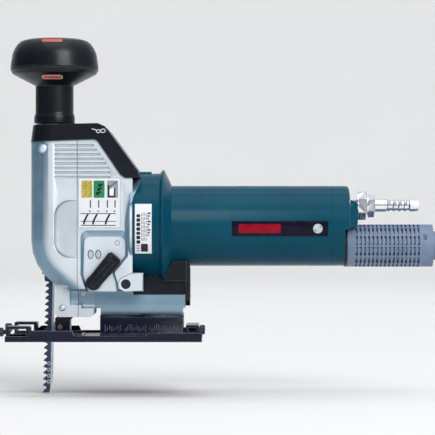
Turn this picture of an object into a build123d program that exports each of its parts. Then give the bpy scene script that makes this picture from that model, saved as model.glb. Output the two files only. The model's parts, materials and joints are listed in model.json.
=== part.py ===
from build123d import *
import math
import os

# Compressed-air jigsaw with a barrel grip, in millimetres.
# The origin is the middle of the sole's underside. +X runs back along the motor barrel, so the saw
# cuts towards -X. +Z is up, and -Y is the tool's left side. The plunger stands at its top dead centre.

# Main axes
plunger_x = -31.3          # plunger, clamp key and knob turn about this upright line
motor_z = 73.0             # rotor and barrel axis, along X
crank_z = 98.0             # crank gear axis, along X
inlet_z = 86.05            # air inlet axis, along X
silencer_z = 60.3          # silencer axis, along X
bevel_z = 20.5             # the foot swivels about this line, along X
stroke = 26.0
running_gap = 0.3          # between bodies that move past each other
shaft_gap = 0.04           # radial, in a bearing
shaft_radius = 3.97

# Silencer
silencer_radius = 13.6
slot_rows = 12
slot_rings = 16
slot_pitch = 2.65
slot_start_x = 162.3
slot_width = 1.3

# Gear head
head_half = 28.0
front_x = -45.1
seam_x = -15.0
seam_gap = 0.3
head_rear_x = 20.0
head_top_z = 126.4
head_bottom_z = 31.6
cheek_half = 17.0
cheek_bottom_z = 14.9
rail_top_z = 29.0
ear_x = 15.8
ear_z = 36.2
chin_half = 8.0
bay_half = 7.5

# Motor barrel
collar_radius = 34.0
lip_radius = 36.0
barrel_radius = 25.8
bore_radius = 23.0
barrel_end_x = 147.0
cap_end_x = 158.5
cap_low_end_x = 155.0
boss_end_x = 163.8

# Foot
plate_front_x = -60.0
plate_rear_x = 64.0
plate_half = 38.0
plate_thick = 2.5
gap_half = 22.0            # half the width of the fork-shaped opening in the plate
gap_rear_x = -14.0
belly_radius = 14.0
saddle_front_x = -0.9
saddle_rear_x = 51.9
sheet = 1.8

# Knob
stalk_radius = 12.65
stalk_bore = 7.5
cover_top_z = 138.7
knob_low_z = 163.2
knob_seam_z = 174.4
knob_radius = 28.4
button_radius = 6.4

# Blade
tooth_pitch = 4.0
tooth_count = 18
blade_half = 0.65
blade_tip_z = -34.6
blade_lean = math.radians(1.0)


def block(x0, x1, y0, y1, z0, z1, mode=Mode.ADD):
    """Box between two corners."""
    with Locations(((x0 + x1) / 2, (y0 + y1) / 2, (z0 + z1) / 2)):
        Box(x1 - x0, y1 - y0, z1 - z0, mode=mode)


def x_rod(radius, x0, x1, z=motor_z, y=0, mode=Mode.ADD):
    """Round bar along X."""
    with Locations(((x0 + x1) / 2, y, z)):
        Cylinder(radius, x1 - x0, rotation=(0, 90, 0), mode=mode)


def y_rod(radius, y0, y1, x, z, mode=Mode.ADD):
    """Round bar along Y."""
    with Locations((x, (y0 + y1) / 2, z)):
        Cylinder(radius, y1 - y0, rotation=(90, 0, 0), mode=mode)


def z_rod(radius, z0, z1, x=plunger_x, y=0, mode=Mode.ADD):
    """Round bar along Z."""
    with Locations((x, y, (z0 + z1) / 2)):
        Cylinder(radius, z1 - z0, mode=mode)


def turned(points, axis):
    """Solid of revolution from an outline in the XZ plane, given as (x, z) points."""
    with BuildPart() as solid:
        with BuildSketch(Plane.XZ):
            with BuildLine():
                Polyline(*points, close=True)
            make_face()
        revolve(axis=axis)
    return solid.part


def x_turned(profile, z=motor_z):
    """Solid turned about a line along X, from (x, radius) points that start and end on it."""
    return turned([(x, z + radius) for x, radius in profile], Axis((0, 0, z), (1, 0, 0)))


def z_turned(profile):
    """Solid turned about the plunger's line, from (radius, z) points."""
    return turned([(plunger_x + radius, z) for radius, z in profile], Axis((plunger_x, 0, 0), (0, 0, 1)))


def side_prism(points, half, offset=0.0):
    """Outline in the XZ plane, thickened by half to each side of y = offset."""
    with BuildPart() as solid:
        with BuildSketch(Plane.XZ.offset(-offset)):
            with BuildLine():
                Polyline(*points, close=True)
            make_face()
        extrude(amount=half, both=True)
    return solid.part


def gear_profile(teeth, tip, root, half_tip, half_root):
    """Closed outline of a spur gear with straight-sided teeth, in its own plane."""
    corners = []
    for tooth in range(teeth):
        middle = 2 * math.pi * tooth / teeth
        for radius, half in ((root, -half_root), (tip, -half_tip), (tip, half_tip), (root, half_root)):
            angle = middle + half / radius
            corners.append((radius * math.cos(angle), radius * math.sin(angle)))
    return corners


def spring(radius, wire, height, turns, foot, direction):
    """Coil spring that stands on foot and points along direction."""
    with BuildPart() as coil:
        with BuildLine() as centre:
            Helix(pitch=height / turns, height=height, radius=radius, center=foot, direction=direction)
        with BuildSketch(Plane(centre.line @ 0, z_dir=centre.line % 0)):
            Circle(wire / 2)
        sweep(is_frenet=True)
    return coil.part


# ---------------------------------------------------------------- gear head

nose_radius = 33.5
nose_steps = 4
nose_turn = math.radians(56)
nose_bend = []
for step in range(nose_steps + 1):
    angle = math.pi + nose_turn * step / nose_steps
    nose_bend.append((front_x + nose_radius * (1 + math.cos(angle)), 63.9 + nose_radius * math.sin(angle)))
head_outline = nose_bend + [
    (-20.4, 36.0), (-20.4, head_bottom_z), (head_rear_x, head_bottom_z), (head_rear_x, 103.4),
    (15.1, 103.4), (12.3, 105.6), (-1.9, 126.6), (-4.0, 127.9), (front_x, head_top_z),
]
cheek_outline = [
    (-29.8, 37.0), (-29.8, cheek_bottom_z), (-4.9, cheek_bottom_z), (-4.9, bevel_z),
    (-13.0, bevel_z), (-13.0, 22.7), (-20.4, 22.7), (-20.4, 37.0),
]
flange_profile = [(14.6, 0), (14.6, 26.8), (18.4, 33.4), (20.5, 33.4), (20.5, 0)]
fin_count = 8
fin_pitch = 2.87
fin_top_z = 124.1
fin_start_x = -29.4
fin_width = 1.5
fin_depth = 0.5
pocket_centre_z = 71.1
pocket_depth = 1.9
recess_floor_y = -26.0
recess_rim = [(-12.9, 70.3), (17.1, 70.3), (17.1, 53.5), (8.6, 43.6), (10.6, 37.5), (11.6, 30.0),
              (-8.8, 30.0), (-12.9, 42.0)]
recess_floor = [(-10.6, 66.3), (15.4, 66.3), (15.4, 54.2), (7.2, 44.4), (9.2, 37.5), (10.2, 30.0),
                (-7.6, 30.0), (-11.2, 42.0)]
lip_outline = [(18.4, 87.0), (19.9, 88.0), (20.6, 91.5), (22.0, 94.6), (23.6, 97.8), (24.6, 101.4),
               (24.6, 103.2), (18.4, 103.2)]
screw_places = ((-20.5, 50), (20.5, 50), (-20.5, 66), (20.5, 66))


def collar_plate(x0, x1, radius, thick, low_z, high_z, side):
    """Plate bent round the motor on one side, between two heights."""
    with BuildPart() as plate:
        with BuildSketch(Plane.YZ.offset(x0)):
            with Locations((0, motor_z)):
                Circle(radius + thick)
                Circle(radius, mode=Mode.SUBTRACT)
        extrude(amount=x1 - x0)
        near, far = sorted((0, 50 * side))
        block(x0 - 1, x1 + 1, near, far, low_z, high_z, Mode.INTERSECT)
    return plate.part


with BuildPart() as head_blank:
    with BuildSketch(Plane.XZ):
        with BuildLine():
            Polyline(*head_outline, close=True)
        make_face()
    extrude(amount=head_half, both=True)
    # The nose is rounded in plan all the way down its curved front
    nose_edges = [e for e in edges() if abs(abs(e.center().Y) - head_half) < 0.1 and e.center().X < -31]
    nose_edges = [e for e in nose_edges if e.center().Z < 126 and e.center().Z > 36.5]
    fillet(nose_edges, 14)
    low_edges = [e for e in edges().filter_by(Axis.X) if abs(e.center().Z - head_bottom_z) < 0.1]
    chamfer(low_edges, 1.5)
    add(side_prism(cheek_outline, cheek_half))
    cheek_edges = edges().filter_by(Axis.Y).filter_by_position(Axis.Z, 14, 16)
    fillet(cheek_edges, 3)

    # Round flange that the motor collar meets, with a lip that laps over the collar's shoulders
    add(x_turned(flange_profile[:3] + [(head_rear_x, 33.4), (head_rear_x, 0)]))
    x_rod(30.85, head_rear_x, 23.8)
    for side in (-1, 1):
        lip = collar_plate(18.4, 24.6, collar_radius + 0.2, 0.9, 87.0, 103.2, side)
        add(lip & side_prism(lip_outline, 40))

    # Rear ears with their screw eyes
    for side in (-1, 1):
        near, far = sorted((18 * side, 27.4 * side))
        block(15.8, 26.8, near, far, head_bottom_z, 43.4)
        y_rod(4.7, near, far, ear_x, ear_z)

    # Rail for the foot: flat flanks above, half-round belly below
    block(-20.4, 53.1, -belly_radius, belly_radius, bevel_z, rail_top_z)
    block(-20.4, head_rear_x, -belly_radius, belly_radius, rail_top_z, 34)
    with BuildSketch(Plane.YZ.offset(saddle_front_x)):
        with BuildLine():
            Line((-belly_radius, bevel_z), (belly_radius, bevel_z))
            ThreePointArc((belly_radius, bevel_z), (0, bevel_z - belly_radius), (-belly_radius, bevel_z))
        make_face()
    extrude(amount=saddle_rear_x - saddle_front_x - 0.4)

    # Crank chamber, pinion pocket and the hollow behind them
    block(-40.5, -2.5, -16, 16, 74, 122, Mode.SUBTRACT)
    block(-34, -2.5, -24.5, 24.5, 74, 122, Mode.SUBTRACT)
    x_rod(8, -14, 25, mode=Mode.SUBTRACT)
    x_rod(24, 4, 25, mode=Mode.SUBTRACT)
    x_rod(4, -3, 6, z=crank_z, mode=Mode.SUBTRACT)

    # Bosses and bores for the two plunger bushes, and the knob's collar on top
    z_rod(11, 118.6, 125)
    z_rod(12, 125, 138.4)
    z_rod(9.0, 127, 140, mode=Mode.SUBTRACT)
    z_rod(8.5, 118, 127.1, mode=Mode.SUBTRACT)
    z_rod(8.5, 60, 74.5, mode=Mode.SUBTRACT)

    # Chin that the blade clamp drops into, and the bay behind it for the roller fork
    block(-40.5, -23.5, -chin_half, chin_half, 14, 60, Mode.SUBTRACT)
    block(-24, -4.8, -bay_half, bay_half, 14, 42, Mode.SUBTRACT)
    block(-5, 1.5, -bay_half, bay_half, 22, 42, Mode.SUBTRACT)
    y_rod(1.6, -14, 14, -12, 29.5, Mode.SUBTRACT)
    y_rod(3.5, -30, 12, -4.5, 37.1, Mode.SUBTRACT)
    # Dust duct from the bay to the spout
    block(1, 25, -6, 6, 34.5, 39, Mode.SUBTRACT)

    # Hollow in the rail for the foot's clamping nut, and the slot for its screw
    with BuildSketch(Plane.YZ.offset(14)):
        with Locations((0, bevel_z)):
            Circle(10)
        with Locations((0, 33)):
            Rectangle(40, 10, mode=Mode.SUBTRACT)
    extrude(amount=28, mode=Mode.SUBTRACT)
    block(24.6, 31.4, -15, 15, 5, 17, Mode.SUBTRACT)

    # Cooling grooves, which follow the slanting cover at the back
    for row in range(fin_count):
        groove_z = fin_top_z - row * fin_pitch
        groove_end = min(-4.4 + row * 2.0, 5.9)
        for side in (-1, 1):
            near, far = sorted(((head_half - fin_depth) * side, (head_half + 1) * side))
            with BuildSketch(Plane.XZ.offset(-far)):
                with Locations(((fin_start_x + groove_end) / 2, groove_z)):
                    SlotOverall(groove_end - fin_start_x, fin_width)
            extrude(amount=far - near, mode=Mode.SUBTRACT)

    # D-shaped scoop in each side, deepest at its front edge and running out at the castings' seam
    for side in (-1, 1):
        run = fin_start_x - seam_x
        slope = Plane((seam_x, head_half * side, pocket_centre_z), x_dir=(-run, pocket_depth * side, 0),
                      z_dir=(-pocket_depth, -run * side, 0))
        with BuildSketch(slope):
            RectangleRounded(-2 * run, 36.6, 10)
            with Locations((25.5, 0)):
                Rectangle(50, 40, mode=Mode.SUBTRACT)
        extrude(amount=5, mode=Mode.SUBTRACT)
    # Sunk panel of the selector on the left, with sloping walls, open at its foot
    for outline, panel_y in ((recess_rim, -head_half), (recess_floor, recess_floor_y)):
        with BuildSketch(Plane.XZ.offset(-panel_y)):
            with BuildLine():
                Polyline(*outline, close=True)
            make_face()
            fillet(vertices().group_by(Axis.Y)[-1], 4.5)
            fillet(vertices().group_by(Axis.Y)[3], 2.5)
    loft(mode=Mode.SUBTRACT)
    # Screw eyes of the rear ears
    for side in (-1, 1):
        near, far = sorted((15 * side, 30 * side))
        y_rod(3.15, near, far, ear_x, ear_z, Mode.SUBTRACT)
    # Bosses for the cover screws
    for side in (-1, 1):
        y_rod(1.6, min(20 * side, 30 * side), max(20 * side, 30 * side), -36.9, 122.5, Mode.SUBTRACT)
        y_rod(3.15, min(25 * side, 30 * side), max(25 * side, 30 * side), -36.9, 122.5, Mode.SUBTRACT)
    # Screw holes that pull the two castings together
    for y, z in screw_places:
        x_rod(2.0, -26, 2, z=z, y=y, mode=Mode.SUBTRACT)
        x_rod(3.6, -1.6, 21, z=z, y=y, mode=Mode.SUBTRACT)

with BuildPart() as gear_housing_front:
    add(head_blank.part)
    split(bisect_by=Plane.YZ.offset(seam_x - seam_gap / 2), keep=Keep.BOTTOM)

with BuildPart() as gear_housing_rear:
    add(head_blank.part)
    split(bisect_by=Plane.YZ.offset(seam_x + seam_gap / 2), keep=Keep.TOP)

with BuildPart() as housing_screws:
    for y, z in screw_places:
        x_rod(1.95, -25, 0, z=z, y=y)
        x_rod(3.4, -1.5, 2.0, z=z, y=y)

cover_outer = [
    (-43.9, 137.3), (-2.0, 138.2), (2.2, 136.4), (5.6, 132.4), (23.4, 108.0), (24.9, 103.8),
    (15.1, 103.5), (12.3, 105.7), (-1.9, 126.7), (-4.0, 128.0), (-45.3, 126.5),
]
cover_wall = 2.4
cover_half = 29.0
with BuildPart() as head_cover:
    with BuildSketch(Plane.XZ):
        with BuildLine():
            Polyline(*cover_outer, close=True)
        make_face()
    extrude(amount=cover_half, both=True)
    front_edges = edges().filter_by(Axis.Z, tolerance=12).filter_by_position(Axis.X, -46, -43)
    fillet(front_edges, 14)
    x_rod(collar_radius + 0.1, head_rear_x, 26, mode=Mode.SUBTRACT)
    add(x_turned(flange_profile), mode=Mode.SUBTRACT)
    block(21.4, 26, -6, 6, 100, 112, Mode.SUBTRACT)
    hollow = [(-42.6, 134.8), (-2.8, 135.7), (0.4, 134.4), (3.6, 130.9), (18.0, 110.8), (16.0, 110.0),
              (-0.4, 129.2), (-3.4, 130.2), (-42.6, 129.0)]
    add(side_prism(hollow, cover_half - cover_wall - 8), mode=Mode.SUBTRACT)
    z_rod(12.05, 120, 145, mode=Mode.SUBTRACT)

with BuildPart() as cover_screws:
    for side in (-1, 1):
        y_rod(1.55, min(20.5 * side, 26 * side), max(20.5 * side, 26 * side), -36.9, 122.5)
        y_rod(3.1, min(25 * side, 27.4 * side), max(25 * side, 27.4 * side), -36.9, 122.5)

with BuildPart() as upper_plunger_bush:
    z_rod(8.45, 118.8, 126.9)
    z_rod(6 + shaft_gap, 118, 128, mode=Mode.SUBTRACT)

with BuildPart() as lower_plunger_bush:
    z_rod(8.45, 60.2, 73.8)
    z_rod(6 + shaft_gap, 60, 74, mode=Mode.SUBTRACT)

with BuildPart() as gear_axle:
    x_rod(shaft_radius, -10.2, 5.6, z=crank_z)

# ---------------------------------------------------------------- air motor

rod_groove_half = 2.4
rod_groove_z = 93.1
stator_start_x = 30.2
stator_end_x = 118.0

with BuildPart() as motor_housing:
    add(x_turned([
        (head_rear_x + 0.1, 0), (head_rear_x + 0.1, 33.7), (37.0, 34.2), (38.5, lip_radius),
        (39.6, lip_radius), (44.5, barrel_radius), (barrel_end_x, barrel_radius), (barrel_end_x, 0)]))
    x_rod(31.0, 19, 24.1, mode=Mode.SUBTRACT)
    x_rod(29.5, 24, 30.1, mode=Mode.SUBTRACT)
    x_rod(bore_radius, 30, 150, mode=Mode.SUBTRACT)
    # Track of the sliding switch, through the top of the collar
    block(21.7, 37.1, -5.9, 5.9, 104.2, 112, Mode.SUBTRACT)
    block(24.6, 33.6, -rod_groove_half, rod_groove_half, 90, 112, Mode.SUBTRACT)
    for y, z in ((-17, 87.3), (17, 87.3), (-19.8, 66), (19.8, 66)):
        x_rod(3.2, 134, 143.8, z=z, y=y)
        x_rod(1.5, 136, 148, z=z, y=y, mode=Mode.SUBTRACT)

with BuildPart() as front_bearing_plate:
    x_rod(29.4, 24.1, 30.0)
    x_rod(11, 24, 31, mode=Mode.SUBTRACT)
    block(23, 31, -rod_groove_half, rod_groove_half, rod_groove_z, 104, Mode.SUBTRACT)

with BuildPart() as front_bearing:
    x_rod(10.95, 24.1, 29.9)
    x_rod(shaft_radius + shaft_gap, 24, 30, mode=Mode.SUBTRACT)

with BuildPart() as stator_cylinder:
    x_rod(bore_radius - 0.1, stator_start_x, stator_end_x)
    x_rod(17.8, stator_start_x - 1, stator_end_x + 1, z=motor_z - 2.5, mode=Mode.SUBTRACT)
    block(30, 119, -rod_groove_half, rod_groove_half, rod_groove_z, 104, Mode.SUBTRACT)

with BuildPart() as rear_bearing_plate:
    x_rod(bore_radius - 0.1, stator_end_x + 0.2, 124.0)
    x_rod(11, 118, 125, mode=Mode.SUBTRACT)
    block(117, 125, -rod_groove_half, rod_groove_half, rod_groove_z, 104, Mode.SUBTRACT)
    y_rod(2.4, -14, 14, 121, 57, Mode.SUBTRACT)

with BuildPart() as rear_bearing:
    x_rod(10.95, 118.3, 123.9)
    x_rod(shaft_radius + shaft_gap, 118, 125, mode=Mode.SUBTRACT)

vane_count = 4
rotor_radius = 15.0
with BuildPart() as rotor:
    x_rod(rotor_radius, 30.7, 117.5)
    x_rod(shaft_radius, 3, 125.5)
    x_rod(2.5, -3.5, 3.5)
    with BuildSketch(Plane.YZ.offset(30)):
        with Locations((0, motor_z)):
            with PolarLocations(rotor_radius - 3.5, vane_count):
                Rectangle(9, 2.4)
    extrude(amount=89, mode=Mode.SUBTRACT)

with BuildPart() as vanes:
    with BuildSketch(Plane.YZ.offset(30.8)):
        with Locations((0, motor_z)):
            with PolarLocations(rotor_radius - 3.9, vane_count):
                Rectangle(7.8, 2.2)
    extrude(amount=86.6)

pinion_teeth = 9
crank_teeth = 41
crank_radius = stroke / 2
with BuildPart() as pinion:
    with BuildSketch(Plane.YZ.offset(-12.0)):
        with Locations(Location((0, motor_z), 90)):
            Polygon(*gear_profile(pinion_teeth, 5.0, 3.25, 0.40, 0.85), align=None)
    extrude(amount=8.3)
    x_rod(2.52, -3.7, 3.0)
    x_rod(2.5, -3.4, 3.1, mode=Mode.SUBTRACT)
    x_rod(3.9, -3.7, 2.9)
    x_rod(2.52, -3.6, 3.1, mode=Mode.SUBTRACT)

with BuildPart() as crank_gear:
    with BuildSketch(Plane.YZ.offset(-12.0)):
        with Locations(Location((0, crank_z), -90 + 180 / crank_teeth)):
            Polygon(*gear_profile(crank_teeth, 21.0, 19.2, 0.40, 0.80), align=None)
    extrude(amount=8.0)
    x_rod(shaft_radius + shaft_gap, -10.5, -3, z=crank_z, mode=Mode.SUBTRACT)
    x_rod(2.55, -13, -3, z=crank_z + crank_radius, mode=Mode.SUBTRACT)
    # Lightening hole opposite the pin balances the plunger
    for angle in (-60, 60):
        hole_y = crank_radius * math.sin(math.radians(angle))
        hole_z = crank_z + crank_radius * math.cos(math.radians(angle))
        x_rod(4.2, -13, -3, z=hole_z, y=hole_y, mode=Mode.SUBTRACT)

with BuildPart() as crank_pin:
    x_rod(2.5, -16.6, -4.2, z=crank_z + crank_radius)

with BuildPart() as crank_roller:
    x_rod(4.0, -16.5, -12.3, z=crank_z + crank_radius)
    x_rod(2.52, -17, -12, z=crank_z + crank_radius, mode=Mode.SUBTRACT)

# ---------------------------------------------------------------- plunger and blade

yoke_z = crank_z + crank_radius
with BuildPart() as plunger_tube:
    z_rod(6.0, 52, 153)
    z_rod(3.5, 51, 154, mode=Mode.SUBTRACT)

with BuildPart() as plunger_yoke:
    block(-23.5, -17.2, -19, 19, yoke_z - 7, yoke_z + 7)
    block(-38.3, -23.5, -7.5, 7.5, yoke_z - 7, yoke_z + 7)
    z_rod(6.02, yoke_z - 8, yoke_z + 8, mode=Mode.SUBTRACT)
    block(-22.5, -17, -17.4, 17.4, yoke_z - 4.4, yoke_z + 4.4, Mode.SUBTRACT)
    fillet(edges().filter_by(Axis.Z).filter_by_position(Axis.X, -39, -38), 2)

clamp_low_z = 42.0
clamp_top_z = 58.0
with BuildPart() as blade_clamp:
    block(-38.9, -24, -6.2, 6.2, clamp_low_z, clamp_top_z)
    chamfer(edges().filter_by(Axis.X).filter_by_position(Axis.Z, clamp_low_z - 1, clamp_low_z + 1), 1.5)
    fillet(edges().filter_by(Axis.Z).filter_by_position(Axis.X, -39, -38.5), 2)
    z_rod(6.02, 52, 59, mode=Mode.SUBTRACT)
    block(-38.4, -30.6, -blade_half - 0.05, blade_half + 0.05, clamp_low_z - 1, 51.2, Mode.SUBTRACT)
    y_rod(1.55, -7, 7, -27.3, 47.5, Mode.SUBTRACT)

with BuildPart() as clamp_screw:
    y_rod(1.5, -6.6, 6.6, -27.3, 47.5)
    y_rod(2.4, -7.4, -6.2, -27.3, 47.5)

with BuildPart() as saw_blade:
    lean = math.tan(blade_lean)
    tips = []
    for tooth in range(tooth_count):
        low_z = blade_tip_z + tooth * tooth_pitch
        tip_x = -39.0 + (low_z - blade_tip_z) * lean * 1.4
        tips.append((tip_x, low_z + (0 if tooth == 0 else 0.6)))
        tips.append((tip_x + 0.25, low_z + 3.0))
        tips.append((tip_x + 2.4, low_z + 2.9))
    outline = tips[:-1] + [(-37.7, 37.6), (-37.9, 51.0), (-31.0, 51.0), (-31.0, 38.5),
                           (-31.3, 30.0), (-32.2, -26.0), (-34.3, -32.9)]
    with BuildSketch(Plane.XZ):
        with BuildLine():
            Polyline(*outline, close=True)
        make_face()
    extrude(amount=blade_half, both=True)

# ---------------------------------------------------------------- roller fork

fork_pivot = (-12.0, 29.5)
roller_centre = (-27.3, 8.1)
fork_outline = [
    (-30.5, 5.5), (-20.8, 5.5), (-20.8, 12.5), (-9.5, 24.2), (-2.0, 27.0), (-2.0, 32.6),
    (-15.5, 32.6), (-17.5, 26.0), (-22.7, 14.6), (-30.5, 14.6),
]
with BuildPart() as roller_fork:
    add(side_prism(fork_outline, 6.9))
    fillet(edges().filter_by(Axis.Y).filter_by_position(Axis.X, -31, -30), 1.5)
    block(-32, -22.0, -4.2, 4.2, 4, 16, Mode.SUBTRACT)
    y_rod(1.55, -8, 8, roller_centre[0], roller_centre[1], Mode.SUBTRACT)
    y_rod(1.5 + shaft_gap, -8, 8, fork_pivot[0], fork_pivot[1], Mode.SUBTRACT)

with BuildPart() as fork_pin:
    y_rod(1.5, -13.5, 13.5, fork_pivot[0], fork_pivot[1])

with BuildPart() as roller_pin:
    y_rod(1.5, -7.4, 7.4, roller_centre[0], roller_centre[1])

with BuildPart() as guide_roller:
    y_rod(4.9, -3.8, 3.8, roller_centre[0], roller_centre[1])
    y_rod(6.0, -0.95, 0.95, roller_centre[0], roller_centre[1], Mode.SUBTRACT)
    y_rod(3.5, -1.5, 1.5, roller_centre[0], roller_centre[1])
    y_rod(1.5 + shaft_gap, -5, 5, roller_centre[0], roller_centre[1], Mode.SUBTRACT)

# ---------------------------------------------------------------- orbital selector

selector_pivot = (-4.5, 37.1)
lever_angle = math.radians(49.5)
lever_plane = Plane((selector_pivot[0], -head_half - 0.4, selector_pivot[1]),
                    x_dir=(math.cos(lever_angle), 0, math.sin(lever_angle)), z_dir=(0, -1, 0))
with BuildPart() as selector_lever:
    with BuildSketch(lever_plane):
        with BuildLine():
            Polyline((0, -4.4), (19.5, -5.1), (22.4, -3.4), (22.4, 3.6), (20.6, 5.1), (0, 4.4), close=True)
        make_face()
        Circle(4.7)
    extrude(amount=4.2)
    fillet(edges().group_by(Axis.Y)[0], 0.9)
    y_rod(4.3, -28.5, -26.2, selector_pivot[0], selector_pivot[1])

with BuildPart() as selector_shaft:
    y_rod(3.4, -26.2, 11.5, selector_pivot[0], selector_pivot[1])
    # Cam flat that lets the fork's heel rise
    block(-9, 0, -7, 7, 33, 34.6, Mode.SUBTRACT)

# ---------------------------------------------------------------- switch and rear cap

with BuildPart() as switch_slider:
    block(22.2, 31.4, -5.5, 5.5, 104.6, 107.9)
    fillet(edges().filter_by(Axis.X).filter_by_position(Axis.Z, 107, 109), 2)
    for ridge in range(4):
        ridge_x = 23.9 + ridge * 1.9
        block(ridge_x, ridge_x + 0.8, -4.5, 4.5, 107.4, 109, Mode.SUBTRACT)
    block(25.0, 28.0, -2.0, 2.0, 94.8, 105)

with BuildPart() as switch_rod:
    block(25.0, 140.0, -2.0, 2.0, 93.4, 94.7)
    block(138.6, 140.0, -2.0, 2.0, inlet_z - 3, 94.0)

valve_bore = 4.4
with BuildPart() as rear_cap:
    add(x_turned([
        (barrel_end_x + 0.15, 0), (barrel_end_x + 0.15, barrel_radius), (cap_end_x - 2, barrel_radius),
        (cap_end_x - 0.6, barrel_radius - 0.6), (cap_end_x, barrel_radius - 2), (cap_end_x, 0)]))
    x_rod(bore_radius - 0.1, 144, 147.2)
    x_rod(bore_radius - 3, 143, 149, mode=Mode.SUBTRACT)
    # Notch for the end of the switch rod
    block(143, barrel_end_x + 0.15, -3.2, 3.2, 91.6, 96.5, Mode.SUBTRACT)
    block(cap_low_end_x, 170, -30, 30, 40, 70.8, Mode.SUBTRACT)
    boss_side = [(150, 68.0), (cap_low_end_x, 68.0), (cap_low_end_x, 70.7), (boss_end_x - 0.6, 72.6),
                 (boss_end_x, 75.0), (boss_end_x, 87.6), (cap_end_x, 89.7), (150, 89.7)]
    add(side_prism(boss_side, 15.0))
    chamfer(edges().filter_by(Axis.Z).filter_by_position(Axis.X, boss_end_x - 1, boss_end_x + 1), 4)
    x_rod(silencer_radius + 0.3, cap_low_end_x, 170, z=silencer_z, mode=Mode.SUBTRACT)
    x_rod(2.6, 148, 160, z=inlet_z, mode=Mode.SUBTRACT)
    x_rod(valve_bore, 151.5, 165, z=inlet_z, mode=Mode.SUBTRACT)
    x_rod(8.0, 148, 160, z=silencer_z, mode=Mode.SUBTRACT)
    for y, z in ((-17, 87.3), (17, 87.3), (-19.8, 66), (19.8, 66)):
        screw_face = cap_end_x if z > 70 else cap_low_end_x
        x_rod(1.6, 140, 165, z=z, y=y, mode=Mode.SUBTRACT)
        x_rod(2.9, screw_face - 1.6, 170, z=z, y=y, mode=Mode.SUBTRACT)

with BuildPart() as rear_cap_screws:
    for y, z in ((-17, 87.3), (17, 87.3), (-19.8, 66), (19.8, 66)):
        screw_face = cap_end_x if z > 70 else cap_low_end_x
        x_rod(1.4, 137, screw_face - 1, z=z, y=y)
        x_rod(2.7, screw_face - 1.5, screw_face - 0.1, z=z, y=y)

with BuildPart() as throttle_valve:
    x_rod(1.5, 140.1, 152.0, z=inlet_z)
    x_rod(3.9, 151.7, 154.0, z=inlet_z)

with BuildPart() as valve_spring:
    add(spring(3.3, 0.8, 10.0, 7, (154.6, 0, inlet_z), (1, 0, 0)))

with BuildPart() as inlet_nut:
    with BuildSketch(Plane.YZ.offset(boss_end_x + 0.6)):
        with Locations((0, inlet_z)):
            RegularPolygon(9.25, 6, rotation=30)
    extrude(amount=5.6)
    x_rod(8.4, boss_end_x, boss_end_x + 0.7, z=inlet_z)
    chamfer(edges().group_by(Axis.X)[-1], 0.7)
    x_rod(valve_bore, 163, 166.6, z=inlet_z, mode=Mode.SUBTRACT)
    x_rod(2.6, 163, 172, z=inlet_z, mode=Mode.SUBTRACT)

tail_start_x = 175.4
tail_end_x = 182.5
with BuildPart() as hose_nipple:
    with BuildSketch(Plane.YZ.offset(170.8)):
        with Locations((0, inlet_z)):
            RegularPolygon(7.6, 6, rotation=30)
    extrude(amount=4.4)
    chamfer(edges().group_by(Axis.X)[-1], 0.5)
    x_rod(6.6, boss_end_x + 6.25, 170.9, z=inlet_z)
    x_rod(3.6, 175, tail_start_x + 0.1, z=inlet_z)
    x_rod(4.2, tail_start_x, tail_end_x, z=inlet_z)
    x_rod(3.3, tail_end_x, 198, z=inlet_z)
    barb_length = 3.6
    for barb in range(4):
        start = tail_end_x + 0.5 + barb * barb_length
        add(x_turned([(start, 0), (start, 3.6), (start + 0.9, 4.2), (start + 2.6, 3.3),
                      (start + 2.6, 0)], z=inlet_z))
    add(x_turned([(197.0, 0), (197.0, 3.4), (198.0, 4.2), (203.2, 3.6), (203.2, 0)], z=inlet_z))
    x_rod(2.5, 165, 210, z=inlet_z, mode=Mode.SUBTRACT)

# ---------------------------------------------------------------- silencer and dust spout

with BuildPart() as silencer_shell:
    x_rod(silencer_radius, 157.2, 212.2, z=silencer_z)
    x_rod(9.2, 212, 215, z=silencer_z)
    x_rod(silencer_radius - 1.9, 156, 210.2, z=silencer_z, mode=Mode.SUBTRACT)
    x_rod(6.5, 205, 216, z=silencer_z, mode=Mode.SUBTRACT)
    for ring in range(slot_rings):
        ring_x = slot_start_x + ring * slot_pitch
        with BuildSketch(Plane.YZ.offset(ring_x)):
            with Locations((0, silencer_z)):
                with PolarLocations(silencer_radius, slot_rows, start_angle=180 / slot_rows):
                    Rectangle(8, 6.0)
        extrude(amount=slot_width, mode=Mode.SUBTRACT)
    # Small latch notch in the plain end
    with Locations((206.6, -silencer_radius, silencer_z + 5.6)):
        Box(2.2, 5.0, 3.6, mode=Mode.SUBTRACT)

# Fluted core, whose ribs lie behind the middles of the slots
with BuildPart() as silencer_core:
    with BuildSketch(Plane.YZ.offset(157.3)):
        with Locations(Location((0, silencer_z), 180 / slot_rows)):
            Polygon(*gear_profile(slot_rows, silencer_radius - 2.2, 8.4, 1.6, 2.0), align=None)
    extrude(amount=52.5)
    x_rod(7.9, 148.5, 157.5, z=silencer_z)
    x_rod(6.3, 148, 205, z=silencer_z, mode=Mode.SUBTRACT)

with BuildPart() as silencer_seal:
    x_rod(silencer_radius, cap_low_end_x + 0.1, 157.1, z=silencer_z)
    x_rod(8.0, 150, 160, z=silencer_z, mode=Mode.SUBTRACT)

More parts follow.
